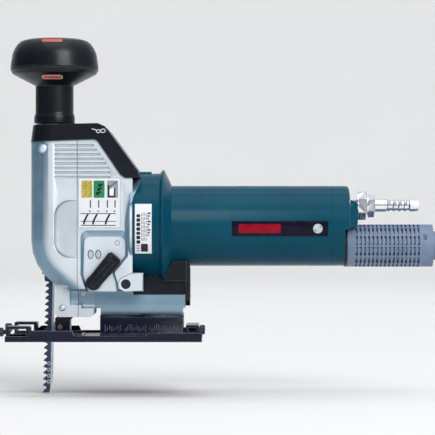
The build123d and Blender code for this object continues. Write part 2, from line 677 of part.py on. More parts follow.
port_end_x = 56.3
with BuildPart() as dust_port:
    block(head_rear_x + 0.2, 54, -11.5, 11.5, rail_top_z + 0.4, 40.7)
    add(side_prism([(39.8, 38), (39.8, 40.7), (45.2, 50.6), (54, 50.6), (54, 38)], 14.5))
    block(53.5, port_end_x, -14, 14, 21.9, 50.8)
    fillet(edges().filter_by(Axis.X).filter_by_position(Axis.Z, 21.5, 22.5), 5)
    x_rod(barrel_radius + 0.1, 20, 60, mode=Mode.SUBTRACT)
    add(x_turned([(10, 0), (10, 34.4), (36.6, 34.4), (38.2, 36.3), (39.9, 36.3),
                  (44.9, barrel_radius + 0.1), (44.9, 0)]), mode=Mode.SUBTRACT)
    block(19, 55, -9, 9, 32, 36.5, Mode.SUBTRACT)
    block(48, 60, -9, 9, 31.9, 45.4, Mode.SUBTRACT)
    block(53.6, 60, -9, 9, 26, 34, Mode.SUBTRACT)

# ---------------------------------------------------------------- plates and labels

with BuildPart() as setting_label:
    block(-14.0, 12.2, -head_half - 0.3, -head_half, 72.0, 103.2)
    fillet(edges().filter_by(Axis.Y), 0.8)

with BuildPart() as rating_plate:
    add(collar_plate(21.7, 32.3, collar_radius + 0.1, 0.3, 55.6, 87.0, -1))

with BuildPart() as badge_strip:
    add(collar_plate(83.0, 144.0, barrel_radius, 0.3, 66.6, 76.1, -1))

# ---------------------------------------------------------------- foot

flange_outline = [
    (plate_front_x, 0), (plate_rear_x, 0), (plate_rear_x, 5.8), (31.0, 5.8), (28.3, 4.0), (-16.4, 4.0),
    (-17.6, 7.0), (-42.6, 7.0), (-46.4, 3.6), (plate_front_x, 3.6),
]
with BuildPart() as base_plate:
    block(plate_front_x, plate_rear_x, -plate_half, plate_half, 0, plate_thick)
    fillet(edges().filter_by(Axis.Z), 4)
    block(plate_front_x - 1, gap_rear_x, -gap_half, gap_half, -1, 4, Mode.SUBTRACT)
    for side in (-1, 1):
        add(side_prism(flange_outline, 0.9, (plate_half - 0.9) * side))
    # Lip round the opening keeps the two prongs stiff
    for side in (-1, 1):
        block(-58, gap_rear_x + 1.8, min(gap_half * side, (gap_half + 1.8) * side),
              max(gap_half * side, (gap_half + 1.8) * side), 1, 4.4)
    block(gap_rear_x, gap_rear_x + 1.8, -gap_half, gap_half, 1, 3.4)
    fillet(edges().filter_by(Axis.Z).filter_by_position(Axis.X, gap_rear_x - 0.5, gap_rear_x + 0.5), 1.5)
    z_rod(5.7, -1, 4, x=28, mode=Mode.SUBTRACT)

with BuildPart() as foot_saddle:
    mid = belly_radius + running_gap + sheet / 2
    wrap = math.radians(49)
    edge_y = mid * math.sin(wrap)
    edge_z = bevel_z - mid * math.cos(wrap)
    with BuildSketch(Plane.YZ.offset(saddle_front_x)):
        with BuildLine():
            ThreePointArc((-edge_y, edge_z), (0, bevel_z - mid), (edge_y, edge_z))
        trace(line_width=sheet)
        for side in (-1, 1):
            with BuildLine():
                Polyline((edge_y * side, edge_z), (16.4 * side, 14.5), (18.0 * side, 15.3),
                         (19.3 * side, 14.3), (19.3 * side, 3.45), (25.0 * side, 3.45))
            trace(line_width=sheet)
    extrude(amount=saddle_rear_x - saddle_front_x)
    z_rod(3.05, 0, 10, x=28, mode=Mode.SUBTRACT)

with BuildPart() as bevel_screw:
    z_rod(3.0, 4.0, 16.4, x=28)
    z_rod(5.0, 0.9, 4.3, x=28)
    with BuildSketch(Plane.XY.offset(0.9)):
        with Locations((28, 0)):
            RegularPolygon(2.4, 6)
    extrude(amount=2.2, mode=Mode.SUBTRACT)

with BuildPart() as bevel_nut:
    with BuildSketch(Plane.YZ.offset(22)):
        with Locations((0, bevel_z)):
            Circle(9.7)
        with Locations((0, 16.6 + 10)):
            Rectangle(30, 20, mode=Mode.SUBTRACT)
        for side in (-1, 1):
            with Locations((12 * side, 10)):
                Rectangle(12, 30, mode=Mode.SUBTRACT)
    extrude(amount=12)
    z_rod(3.02, 0, 20, x=28, mode=Mode.SUBTRACT)

with BuildPart() as guide_brackets:
    for side in (-1, 1):
        near, far = sorted((25.0 * side, 35.9 * side))
        block(-59.4, -44.2, near, far, plate_thick, 9.9)
        block(-57.3, -46.7, near - 1, far + 1, plate_thick + 0.6, 8.1, Mode.SUBTRACT)
    block(53.6, 62.0, -17, 17, plate_thick, 9.8)
    fillet(edges().filter_by(Axis.Y).filter_by_position(Axis.Z, 9, 10.5), 1.0)
    block(55.0, 60.6, -18, 18, plate_thick + 0.6, 8.2, Mode.SUBTRACT)
    for y in (-30, 30):
        x_rod(1.6, -60, -57, z=6.0, y=y, mode=Mode.SUBTRACT)
    for y in (-11, 11):
        x_rod(1.6, 60, 63, z=6.0, y=y, mode=Mode.SUBTRACT)

with BuildPart() as guide_screws:
    for y in (-30, 30):
        x_rod(1.5, -62, -57.6, z=6.0, y=y)
        x_rod(2.9, -66, -61.5, z=6.0, y=y)
    for y in (-11, 11):
        x_rod(1.5, 61, 63, z=6.0, y=y)
        x_rod(2.6, 62.3, 66, z=6.0, y=y)

# ---------------------------------------------------------------- knob

with BuildPart() as knob_base:
    add(z_turned([
        (stalk_bore, 128.0), (8.94, 128.0), (8.94, cover_top_z + running_gap),
        (stalk_radius + 0.5, cover_top_z + running_gap), (stalk_radius + 0.4, 143.5),
        (stalk_radius - 0.4, 145.5), (stalk_radius - 0.4, knob_low_z), (26.9, 170.7),
        (knob_radius, 173.4), (knob_radius, knob_seam_z), (23.0, knob_seam_z), (23.0, 172.6),
        (19.0, 170.5), (10.0, 169.0), (10.0, 175.2), (2.6, 175.2), (2.6, 164.0), (stalk_bore, 164.0)]))

with BuildPart() as knob_cap:
    add(z_turned([
        (knob_radius, knob_seam_z + 0.2), (27.9, 178.9), (27.1, 183.6), (25.7, 187.0), (23.9, 189.8),
        (21.5, 191.9), (17.0, 193.2), (10.0, 193.6), (6.7, 193.6), (6.7, 191.0), (16.5, 190.6),
        (20.4, 189.4), (23.4, 185.6), (25.3, 178.5), (25.6, knob_seam_z + 0.2)]))

with BuildPart() as drive_rod:
    with BuildSketch(Plane.XY.offset(60)):
        with Locations((plunger_x, 0)):
            RegularPolygon(2.6, 6)
    extrude(amount=115)

with BuildPart() as knob_marks:
    add(z_turned([(18.9, 166.2), (19.2, 166.0), (24.2, 168.7), (24.0, 168.95)]))
    block(-70, 10, -15.5, 15.5, 160, 175, Mode.SUBTRACT)
    for side in (-1, 1):
        low_x, high_x = sorted((plunger_x + 6.6 * side, plunger_x + 40 * side))
        block(low_x, high_x, -40, 40, 160, 175, Mode.SUBTRACT)

with BuildPart() as lock_button:
    z_rod(button_radius, 187.9, 194.0)
    fillet(edges().group_by(Axis.Z)[-1], 0.8)
    z_rod(8.5, 187.8, 190.5)

with BuildPart() as button_spring:
    add(spring(5.0, 0.9, 11.2, 5, (plunger_x, 0, 175.9), (0, 0, 1)))

pieces = {
    "gear_housing_front": gear_housing_front, "gear_housing_rear": gear_housing_rear,
    "housing_screws": housing_screws, "head_cover": head_cover, "cover_screws": cover_screws,
    "upper_plunger_bush": upper_plunger_bush, "lower_plunger_bush": lower_plunger_bush,
    "gear_axle": gear_axle, "motor_housing": motor_housing,
    "front_bearing_plate": front_bearing_plate, "front_bearing": front_bearing,
    "stator_cylinder": stator_cylinder, "rear_bearing_plate": rear_bearing_plate,
    "rear_bearing": rear_bearing, "rotor": rotor, "vanes": vanes, "pinion": pinion,
    "crank_gear": crank_gear, "crank_pin": crank_pin, "crank_roller": crank_roller,
    "plunger_tube": plunger_tube, "plunger_yoke": plunger_yoke, "blade_clamp": blade_clamp,
    "clamp_screw": clamp_screw, "saw_blade": saw_blade, "roller_fork": roller_fork,
    "fork_pin": fork_pin, "roller_pin": roller_pin, "guide_roller": guide_roller,
    "selector_lever": selector_lever, "selector_shaft": selector_shaft,
    "switch_slider": switch_slider, "switch_rod": switch_rod, "rear_cap": rear_cap,
    "rear_cap_screws": rear_cap_screws, "throttle_valve": throttle_valve,
    "valve_spring": valve_spring, "inlet_nut": inlet_nut, "hose_nipple": hose_nipple,
    "silencer_shell": silencer_shell, "silencer_core": silencer_core,
    "silencer_seal": silencer_seal, "dust_port": dust_port, "setting_label": setting_label,
    "rating_plate": rating_plate, "badge_strip": badge_strip, "base_plate": base_plate,
    "foot_saddle": foot_saddle, "bevel_screw": bevel_screw, "bevel_nut": bevel_nut,
    "guide_brackets": guide_brackets, "guide_screws": guide_screws, "knob_base": knob_base,
    "knob_cap": knob_cap, "drive_rod": drive_rod, "knob_marks": knob_marks,
    "lock_button": lock_button, "button_spring": button_spring,
}
os.makedirs("parts", exist_ok=True)
for name, piece in pieces.items():
    piece.part.label = name
    export_step(piece.part, f"parts/{name}.step")
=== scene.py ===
import json
import math

import bmesh
import bpy
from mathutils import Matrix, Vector


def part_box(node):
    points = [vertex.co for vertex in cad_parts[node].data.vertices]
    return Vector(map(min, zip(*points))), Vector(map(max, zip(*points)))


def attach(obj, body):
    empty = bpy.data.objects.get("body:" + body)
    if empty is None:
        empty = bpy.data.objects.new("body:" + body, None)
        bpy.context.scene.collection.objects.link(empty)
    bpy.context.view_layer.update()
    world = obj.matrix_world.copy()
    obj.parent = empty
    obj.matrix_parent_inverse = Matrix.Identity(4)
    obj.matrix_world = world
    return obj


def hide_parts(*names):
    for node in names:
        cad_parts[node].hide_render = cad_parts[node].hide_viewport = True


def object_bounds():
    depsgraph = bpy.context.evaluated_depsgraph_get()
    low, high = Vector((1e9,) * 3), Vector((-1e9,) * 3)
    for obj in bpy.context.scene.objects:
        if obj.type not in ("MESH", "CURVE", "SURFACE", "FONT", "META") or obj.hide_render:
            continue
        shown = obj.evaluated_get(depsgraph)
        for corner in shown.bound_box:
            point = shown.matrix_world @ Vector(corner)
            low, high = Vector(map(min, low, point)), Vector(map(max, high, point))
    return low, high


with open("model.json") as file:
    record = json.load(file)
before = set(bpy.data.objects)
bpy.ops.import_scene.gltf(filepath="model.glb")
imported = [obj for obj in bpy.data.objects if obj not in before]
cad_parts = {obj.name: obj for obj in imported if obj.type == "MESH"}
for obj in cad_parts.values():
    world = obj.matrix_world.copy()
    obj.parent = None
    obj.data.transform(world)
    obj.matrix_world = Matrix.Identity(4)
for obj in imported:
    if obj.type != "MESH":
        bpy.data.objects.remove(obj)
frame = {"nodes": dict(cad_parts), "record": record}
cad_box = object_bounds()
nodes = frame["nodes"]
bodies = frame["record"]["behaviour"]["bodies"]
body_of_node = {node: body for body, members in bodies.items() for node in members}
slot_of_node = {s["node"]: s["material_slot"] for s in frame["record"]["subparts"]}
MM = 0.001
PRINT_HEIGHT = 0.05 * MM                  # how proud a printed mark stands
PANEL_DEPTH = 2.0 * MM                    # how deep the selector's panel is sunk
MOTOR_Z = 73.0                            # height of the barrel's line, in mm
COLLAR_LABEL_RADIUS = 34.4                # outer face of the plate on the collar, in mm
BARREL_LABEL_RADIUS = 26.1                # outer face of the strip on the barrel, in mm
KNOB_X = -31.3                            # upright line of knob and plunger, in mm
EAR_EYE = (15.8, 36.2)                    # screw eye of the rear ear, x and z in mm
LEVER_PIVOT = (-4.5, 37.1)                # selector's turning line, x and z in mm
LEVER_ANGLE = math.radians(49.5)          # how steeply the selector lever lies at rest
SADDLE_SHEET = 1.8                        # thickness of the saddle, in mm
SADDLE_FLANK = 20.2                       # outer face of the saddle's upright flanks, in mm
THUMB_SCREW_Z = 6.0                       # height of the guide screws, in mm


# ------------------------------------------------------------------ materials

class Shader:
    """Builds one node material around a Principled BSDF, in the object's own coordinates."""

    def __init__(self, name, **sockets):
        self.material = bpy.data.materials.new(name)
        self.material.use_nodes = True
        self.tree = self.material.node_tree
        self.bsdf = self.tree.nodes["Principled BSDF"]
        self.coords = self.add("ShaderNodeTexCoord").outputs["Object"]
        self.height = None
        for socket, value in sockets.items():
            self.bsdf.inputs[socket.replace("_", " ")].default_value = value

    def add(self, kind, **settings):
        node = self.tree.nodes.new(kind)
        for key, value in settings.items():
            setattr(node, key, value)
        return node

    def link(self, source, target):
        self.tree.links.new(source, target)

    def stretched(self, stretch):
        """Object coordinates scaled by a different factor along each axis."""
        mapping = self.add("ShaderNodeMapping")
        mapping.inputs["Scale"].default_value = stretch
        self.link(self.coords, mapping.inputs["Vector"])
        return mapping.outputs["Vector"]

    def noise(self, scale, detail=3.0, roughness=0.55, stretch=(1, 1, 1)):
        node = self.add("ShaderNodeTexNoise")
        self.link(self.stretched(stretch), node.inputs["Vector"])
        node.inputs["Scale"].default_value = scale
        node.inputs["Detail"].default_value = detail
        node.inputs["Roughness"].default_value = roughness
        return node.outputs["Fac"]

    def along(self, direction):
        """Distance along a direction, in metres."""
        node = self.add("ShaderNodeVectorMath", operation="DOT_PRODUCT")
        self.link(self.coords, node.inputs[0])
        node.inputs[1].default_value = direction
        return node.outputs["Value"]

    def ramp(self, factor, low, high, low_colour, high_colour):
        """Colour that goes from one tone to another as factor passes from low to high."""
        node = self.add("ShaderNodeValToRGB")
        self.link(factor, node.inputs["Fac"])
        node.color_ramp.elements[0].position = low
        node.color_ramp.elements[0].color = (*low_colour, 1)
        node.color_ramp.elements[1].position = high
        node.color_ramp.elements[1].color = (*high_colour, 1)
        return node.outputs["Color"]

    def spread(self, factor, low, high, low_value, high_value):
        """Number that goes from one value to another as factor passes from low to high."""
        node = self.add("ShaderNodeMapRange")
        self.link(factor, node.inputs["Value"])
        limits = {"From Min": low, "From Max": high, "To Min": low_value, "To Max": high_value}
        for socket, value in limits.items():
            node.inputs[socket].default_value = value
        return node.outputs["Result"]

    def product(self, first, second):
        node = self.add("ShaderNodeMath", operation="MULTIPLY")
        self.link(first, node.inputs[0])
        self.link(second, node.inputs[1])
        return node.outputs["Value"]

    def mixed(self, factor, first, second):
        node = self.add("ShaderNodeMix", data_type="RGBA")
        self.link(factor, node.inputs["Factor"])
        for socket, value in (("A", first), ("B", second)):
            target = [i for i in node.inputs if i.name == socket and i.type == "RGBA"][0]
            if isinstance(value, tuple):
                target.default_value = (*value, 1)
            else:
                self.link(value, target)
        return [o for o in node.outputs if o.type == "RGBA"][0]

    def edge_wear_and_highlight(self, reach, amount):
        """Up to amount along the edges of the shape, broken up by noise, and 0 on flat stretches; serves
        both as worn edges and as painted edge highlights.
        """
        bevel = self.add("ShaderNodeBevel", samples=4)
        bevel.inputs["Radius"].default_value = reach
        flat = self.add("ShaderNodeNewGeometry").outputs["Normal"]
        dot = self.add("ShaderNodeVectorMath", operation="DOT_PRODUCT")
        self.link(bevel.outputs["Normal"], dot.inputs[0])
        self.link(flat, dot.inputs[1])
        edge = self.spread(dot.outputs["Value"], 0.995, 0.90, 0.0, 1.0)
        return self.product(edge, self.spread(self.noise(350, 4), 0.35, 0.65, 0.25 * amount, amount))

    def off_side(self, low, high):
        """0 where the surface faces square to the side, 1 where it has turned well away from that."""
        parts = self.add("ShaderNodeSeparateXYZ")
        self.link(self.add("ShaderNodeTexCoord").outputs["Normal"], parts.inputs[0])
        square = self.add("ShaderNodeMath", operation="ABSOLUTE")
        self.link(parts.outputs["Y"], square.inputs[0])
        return self.spread(square.outputs["Value"], low, high, 1.0, 0.0)

    def crevice_shade(self, reach, low, high):
        """1 deep in corners and grooves, 0 in the open; an ambient-occlusion mask for painted shade."""
        node = self.add("ShaderNodeAmbientOcclusion", samples=4)
        node.inputs["Distance"].default_value = reach
        return self.spread(node.outputs["AO"], low, high, 1.0, 0.0)

    def base(self, colour):
        self.link(colour, self.bsdf.inputs["Base Color"])

    def rough(self, value):
        self.link(value, self.bsdf.inputs["Roughness"])

    def bump(self, factor, distance, strength=1.0):
        """Adds one layer of bump, distance in metres."""
        node = self.add("ShaderNodeBump")
        node.inputs["Distance"].default_value = distance
        node.inputs["Strength"].default_value = strength
        self.link(factor, node.inputs["Height"])
        if self.height is not None:
            self.link(self.height, node.inputs["Normal"])
        self.height = node.outputs["Normal"]
        self.link(self.height, self.bsdf.inputs["Normal"])


def cast_alloy():
    """Light alloy: bright on its flat sides, painted a dark blue tone as shade where the surface turns from
    the side and on the rail under the head, worn along its edges, with painted shade in its corners.
    """
    s = Shader("cast_alloy", Metallic=0.8, Specular_IOR_Level=0.5)
    square_side_tone = s.ramp(s.noise(38, 5), 0.3, 0.75, (0.70, 0.76, 0.81), (0.80, 0.85, 0.89))
    painted_shade_tone = s.ramp(s.noise(60, 5), 0.3, 0.75, (0.19, 0.31, 0.40), (0.27, 0.41, 0.51))
    # Faces turned away from the side take the dark blue tone: painted shade and reflection
    tone = s.mixed(s.off_side(0.90, 0.99), square_side_tone, painted_shade_tone)
    lengthwise, upright = s.along((1, 0, 0)), s.along((0, 0, 1))
    # Painted shadow on the rail under the gear head, behind the cheek and above it
    under_head_shade = s.spread(upright, 0.0300, 0.0312, 0.9, 0.0)
    rail_shade_behind_cheek = s.product(under_head_shade, s.spread(lengthwise, -0.0049, -0.0047, 0.0, 1.0))
    rail_shade_above_cheek = s.product(s.product(under_head_shade, s.spread(lengthwise, -0.0205, -0.0203, 0.0, 1.0)),
                            s.spread(upright, 0.0225, 0.0228, 0.0, 1.0))
    tone = s.mixed(rail_shade_above_cheek, s.mixed(rail_shade_behind_cheek, tone, painted_shade_tone), painted_shade_tone)
    worn = s.mixed(s.edge_wear_and_highlight(0.0003, 0.35), tone, (0.88, 0.91, 0.94))
    # Painted shade deep in corners and grooves
    s.base(s.mixed(s.crevice_shade(0.0018, 0.40, 0.96), worn, (0.09, 0.14, 0.19)))
    s.rough(s.spread(s.noise(160, 4), 0.3, 0.7, 0.38, 0.48))
    s.bump(s.noise(2600, 2), 0.00004, 0.35)
    s.bump(s.noise(420, 3), 0.00005, 0.25)
    return s.material


def black_moulding():
    """Glass-filled nylon with a fine spark-eroded grain, and painted highlights along its edges."""
    s = Shader("black_moulding", Specular_IOR_Level=0.26)
    tone = s.ramp(s.noise(60, 4), 0.3, 0.8, (0.0030, 0.0048, 0.0080), (0.0060, 0.0085, 0.013))
    # Lighter edges: painted highlight
    s.base(s.mixed(s.edge_wear_and_highlight(0.0008, 0.8), tone, (0.09, 0.105, 0.13)))
    s.rough(s.spread(s.noise(300, 3), 0.3, 0.7, 0.27, 0.34))
    s.bump(s.noise(1900, 3, 0.7), 0.00004, 0.4)
    return s.material


def teal_enamel():
    """Satin enamel with a faint orange peel."""
    s = Shader("teal_enamel", Specular_IOR_Level=0.1)
    tone = s.ramp(s.noise(22, 4), 0.3, 0.75, (0.0014, 0.050, 0.085), (0.0026, 0.064, 0.104))
    s.base(s.mixed(s.edge_wear_and_highlight(0.0005, 0.35), tone, (0.02, 0.16, 0.22)))
    s.rough(s.spread(s.noise(120, 4), 0.3, 0.7, 0.20, 0.30))
    s.bump(s.noise(520, 3), 0.00004, 0.25)
    return s.material


def bright_plating():
    """Nickel plate with fine turning marks."""
    s = Shader("bright_plating", Metallic=1.0)
    s.base(s.ramp(s.noise(90, 4), 0.3, 0.8, (0.80, 0.80, 0.83), (0.93, 0.93, 0.95)))
    s.rough(s.spread(s.noise(700, 3, 0.6, (6, 1, 1)), 0.3, 0.7, 0.10, 0.22))
    s.bump(s.noise(900, 2, 0.5, (5, 0.4, 0.4)), 0.00002, 0.4)
    return s.material


def silencer_grey():
    """Blue-grey moulding, lightly mottled."""
    s = Shader("silencer_grey", Specular_IOR_Level=0.35)
    tone = s.ramp(s.noise(70, 5), 0.3, 0.75, (0.115, 0.162, 0.25), (0.17, 0.225, 0.33))
    s.base(s.mixed(s.edge_wear_and_highlight(0.0003, 0.6), tone, (0.36, 0.46, 0.60)))
    s.rough(s.spread(s.noise(240, 3), 0.3, 0.7, 0.38, 0.52))
    s.bump(s.noise(1500, 3), 0.00004, 0.4)
    return s.material


def machined_steel(name="machined_steel", low=(0.42, 0.43, 0.45), high=(0.62, 0.63, 0.65)):
    """Machined metal with tool marks."""
    s = Shader(name, Metallic=1.0)
    s.base(s.ramp(s.noise(80, 4), 0.3, 0.8, low, high))
    s.rough(s.spread(s.noise(500, 3, 0.6, (1, 1, 6)), 0.3, 0.7, 0.24, 0.40))
    s.bump(s.noise(800, 2, 0.5, (1, 1, 8)), 0.00002, 0.4)
    return s.material


def black_steel():
    """Blackened pressed steel with drawn-out rolling marks, and painted highlights along its edges."""
    s = Shader("black_steel", Metallic=0.1, Specular_IOR_Level=0.3)
    rolled = s.noise(55, 5, 0.6, (0.4, 2, 2))
    tone = s.ramp(rolled, 0.3, 0.75, (0.0035, 0.0038, 0.013), (0.009, 0.010, 0.026))
    # Lighter edges: painted highlight
    s.base(s.mixed(s.edge_wear_and_highlight(0.0007, 1.0), tone, (0.20, 0.20, 0.30)))
    s.rough(s.spread(s.noise(260, 4, 0.6, (0.5, 3, 3)), 0.3, 0.7, 0.18, 0.32))
    s.bump(s.noise(1100, 3), 0.00003, 0.4)
    return s.material


def blade_steel():
    """Blade painted dark as a painted reflection, with a painted highlight along its ground back, and
    grinding lines across it.
    """
    s = Shader("blade_steel", Metallic=0.8)
    # Dark body tone paints a dark reflection; the lighter back strip paints the highlight of the ground
    # bevel
    dark_reflection_tone = s.ramp(s.noise(75, 5, 0.6, (1, 1, 0.4)), 0.3, 0.75, (0.030, 0.050, 0.095), (0.065, 0.10, 0.165))
    back_highlight_tone = s.ramp(s.noise(500, 3, 0.6, (0.3, 1, 2)), 0.3, 0.8, (0.50, 0.53, 0.57), (0.74, 0.76, 0.79))
    back = s.spread(s.along((1.0, 0.0, 0.0245 * -1)), -0.03345, -0.03325, 0.0, 1.0)
    s.base(s.mixed(back, dark_reflection_tone, back_highlight_tone))
    s.rough(s.spread(s.noise(600, 3, 0.6, (6, 1, 1)), 0.3, 0.7, 0.26, 0.42))
    s.bump(s.noise(900, 2, 0.5, (0.5, 1, 7)), 0.00002, 0.4)
    return s.material


def printed_film(name, low, high, roughness=0.4, shine=0.3):
    """Printed plastic film or paint, faintly uneven."""
    s = Shader(name, Specular_IOR_Level=shine)
    s.base(s.ramp(s.noise(140, 4), 0.3, 0.8, low, high))
    s.rough(s.spread(s.noise(300, 3), 0.3, 0.7, roughness - 0.06, roughness + 0.08))
    s.bump(s.noise(1300, 2), 0.00002, 0.3)
    return s.material


MATERIALS = {
    "cast_alloy": cast_alloy(),
    "black_moulding": black_moulding(),
    "teal_enamel": teal_enamel(),
    "bright_plating": bright_plating(),
    "silencer_grey": silencer_grey(),
    "machined_steel": machined_steel(),
    "alloy_plain": machined_steel("alloy_plain", (0.55, 0.57, 0.60), (0.70, 0.72, 0.75)),
    "bearing_bronze": machined_steel("bearing_bronze", (0.30, 0.20, 0.12), (0.46, 0.32, 0.20)),
    "black_steel": black_steel(),
    "blade_steel": blade_steel(),
    "spring_steel": machined_steel("spring_steel", (0.30, 0.30, 0.33), (0.45, 0.45, 0.48)),
    "vane_composite": printed_film("vane_composite", (0.16, 0.09, 0.04), (0.26, 0.16, 0.08)),
    "label_film": printed_film("label_film", (0.66, 0.68, 0.70), (0.76, 0.77, 0.78)),
    "badge_black": printed_film("badge_black", (0.003, 0.002, 0.011), (0.008, 0.005, 0.018), 0.26, 0.15),
    "signal_red": printed_film("signal_red", (0.42, 0.075, 0.055), (0.60, 0.15, 0.11)),
}
# Lighter copy of the silencer grey for the sunken core: painted light that offsets the shade in the slots
silencer_core_lit_grey = printed_film("silencer_core_lit_grey", (0.34, 0.42, 0.54), (0.50, 0.58, 0.70), 0.55)
cast_shadow = printed_film("cast_shadow", (0.05, 0.075, 0.10), (0.10, 0.14, 0.18), 0.6)
ink_black = printed_film("ink_black", (0.008, 0.008, 0.012), (0.022, 0.022, 0.028))
ink_grey = printed_film("ink_grey", (0.22, 0.23, 0.26), (0.34, 0.35, 0.38))
scale_ink = printed_film("scale_ink", (0.045, 0.045, 0.07), (0.13, 0.13, 0.17))
ink_yellow = printed_film("ink_yellow", (0.42, 0.34, 0.05), (0.62, 0.53, 0.13))
ink_green = printed_film("ink_green", (0.008, 0.17, 0.065), (0.02, 0.26, 0.11))
ink_brown = printed_film("ink_brown", (0.16, 0.10, 0.02), (0.26, 0.19, 0.06))
ink_white = printed_film("ink_white", (0.70, 0.73, 0.76), (0.84, 0.86, 0.88))
ink_pale = printed_film("ink_pale", (0.38, 0.42, 0.42), (0.52, 0.56, 0.56))
ink_red = printed_film("ink_red", (0.20, 0.0015, 0.010), (0.34, 0.004, 0.020), 0.26, 0.12)
ink_rose = printed_film("ink_rose", (0.60, 0.40, 0.34), (0.78, 0.56, 0.50))


# ------------------------------------------------------------------ mesh tools

def new_piece(name, bm, body, slot, material=None, smooth_angle=None):
    """Closes up a mesh, dresses it and lets it ride on its body."""
    mesh = bpy.data.meshes.new(name + "_mesh")
    bmesh.ops.remove_doubles(bm, verts=bm.verts, dist=1e-6)
    bmesh.ops.recalc_face_normals(bm, faces=bm.faces)
    if smooth_angle is not None:
        for face in bm.faces:
            face.smooth = True
    bm.to_mesh(mesh)
    bm.free()
    if smooth_angle is not None:
        mesh.set_sharp_from_angle(angle=math.radians(smooth_angle))
    mesh.materials.append(material or MATERIALS[slot])
    piece = bpy.data.objects.new(name, mesh)
    bpy.context.scene.collection.objects.link(piece)
    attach(piece, body)
    return piece


def bevelled(piece, width, segments=2, angle=28):
    bevel = piece.modifiers.new("round", "BEVEL")
    bevel.width = width
    bevel.segments = segments
    bevel.limit_method = "ANGLE"
    bevel.angle_limit = math.radians(angle)
    bevel.use_clamp_overlap = True
    return piece


def rounded(node, width, segments=2, angle=21, material=None):
    """A copy of a CAD part with its sharp edges rounded, which stands for that part."""
    bm = bmesh.new()
    bm.from_mesh(nodes[node].data)
    bmesh.ops.remove_doubles(bm, verts=bm.verts, dist=2e-6)
    bmesh.ops.dissolve_limit(bm, angle_limit=math.radians(0.8), verts=bm.verts, edges=bm.edges)
    piece = new_piece(node + "_rounded", bm, body_of_node[node], slot_of_node[node], material, angle)
    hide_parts(node)
    return bevelled(piece, width, segments, angle)


def slab(bm, outline, low, high, place):
    """Adds a closed slab: a flat outline of (u, v) points between two heights, put in space by place."""
    floor = [bm.verts.new(place(u, v, low)) for u, v in outline]
    top = [bm.verts.new(place(u, v, high)) for u, v in outline]
    bm.faces.new(floor)
    bm.faces.new(top)
    for i in range(len(outline)):
        j = (i + 1) % len(outline)
        bm.faces.new((floor[i], floor[j], top[j], top[i]))


def patch(bm, u0, u1, v0, v1, low, high, place, corner=0.0, steps=12):
    """Adds a closed patch with rounded corners that follows a curved surface."""
    rows = []
    for i in range(steps + 1):
        v = v0 + (v1 - v0) * i / steps
        depth = max(0.0, corner - min(v - v0, v1 - v))
        inset = corner - math.sqrt(max(0.0, corner * corner - depth * depth))
        span = [u0 + inset + (u1 - u0 - 2 * inset) * k / steps for k in range(steps + 1)]
        rows.append([(u, v) for u in span])
    sheets = [[[bm.verts.new(place(u, v, h)) for u, v in row] for row in rows] for h in (low, high)]
    for sheet in sheets:
        for i in range(steps):
            for k in range(steps):
                bm.faces.new((sheet[i][k], sheet[i][k + 1], sheet[i + 1][k + 1], sheet[i + 1][k]))
    rim = [(0, k) for k in range(steps)] + [(i, steps) for i in range(steps)]
    rim += [(steps, k) for k in range(steps, 0, -1)] + [(i, 0) for i in range(steps, 0, -1)]
    for n, (i, k) in enumerate(rim):
        p, q = rim[(n + 1) % len(rim)]
        bm.faces.new((sheets[0][i][k], sheets[0][p][q], sheets[1][p][q], sheets[1][i][k]))


def side_place(face_y):
    """Places (x, z) millimetres on the flat left side, height standing out towards -Y."""
    return lambda x, z, h: (x * MM, face_y - h, z * MM)


def barrel_place(radius, axis_z, side=-1):
    """Places (x, z) millimetres on a round surface about the motor's line."""
    def place(x, z, h):
        lift = z - axis_z
        reach = math.sqrt(radius * radius - lift * lift)
        scale = 1 + h / (radius * MM)
        return (x * MM, side * reach * MM * scale, (axis_z + lift * scale) * MM)
    return place


def ring(centre_x, centre_z, radius_x, radius_z, turns=24):
    """Points of an upright oval."""
    points = []
    for step in range(turns):
        angle = 2 * math.pi * step / turns
        points.append((centre_x + radius_x * math.cos(angle), centre_z + radius_z * math.sin(angle)))
    return points


def oval_band(bm, centre_x, centre_z, radius_x, radius_z, width, low, high, place, turns=24):
    """Adds a closed oval ring of the given line width."""
    loops = []
    for grow in (0.0, -width):
        outline = ring(centre_x, centre_z, radius_x + grow, radius_z + grow, turns)
        for h in (low, high):
            loops.append([bm.verts.new(place(u, v, h)) for u, v in outline])
    for a, b in ((0, 1), (1, 3), (3, 2), (2, 0)):
        for i in range(turns):
            j = (i + 1) % turns
            bm.faces.new((loops[a][i], loops[a][j], loops[b][j], loops[b][i]))


def stroke(x0, z0, x1, z1, width):
    """Corners of a straight line of the given width."""
    run = Vector((x1 - x0, z1 - z0)).normalized() * (width / 2)
    near = [(x0 - run.y, z0 + run.x), (x0 + run.y, z0 - run.x)]
    far = [(x1 + run.y, z1 - run.x), (x1 - run.y, z1 + run.x)]
    return near + far


def box_outline(x0, x1, z0, z1):
    return [(x0, z0), (x1, z0), (x1, z1), (x0, z1)]


def print_piece(name, outlines, place, body, slot, material, low=0.0, high=PRINT_HEIGHT):
    """One piece made of separate flat marks."""
    bm = bmesh.new()
    for outline in outlines:
        slab(bm, outline, low, high, place)
    return new_piece(name, bm, body, slot, material)


# ------------------------------------------------------------------ castings and mouldings

ROUNDED = {
    "head_cover": 1.1, "motor_housing": 0.6, "rear_cap": 0.7, "inlet_nut": 0.3, "hose_nipple": 0.2,
    "base_plate": 0.5, "foot_saddle": 0.7, "guide_brackets": 0.3, "selector_lever": 0.5, "dust_port": 0.7,
    "gear_housing_front": 0.5, "gear_housing_rear": 0.5, "knob_base": 0.5, "knob_cap": 0.4,
    "blade_clamp": 0.3, "roller_fork": 0.3, "lock_button": 0.4, "switch_slider": 0.3,
}
for node_name, bevel_width in ROUNDED.items():
    rounded(node_name, bevel_width * MM)

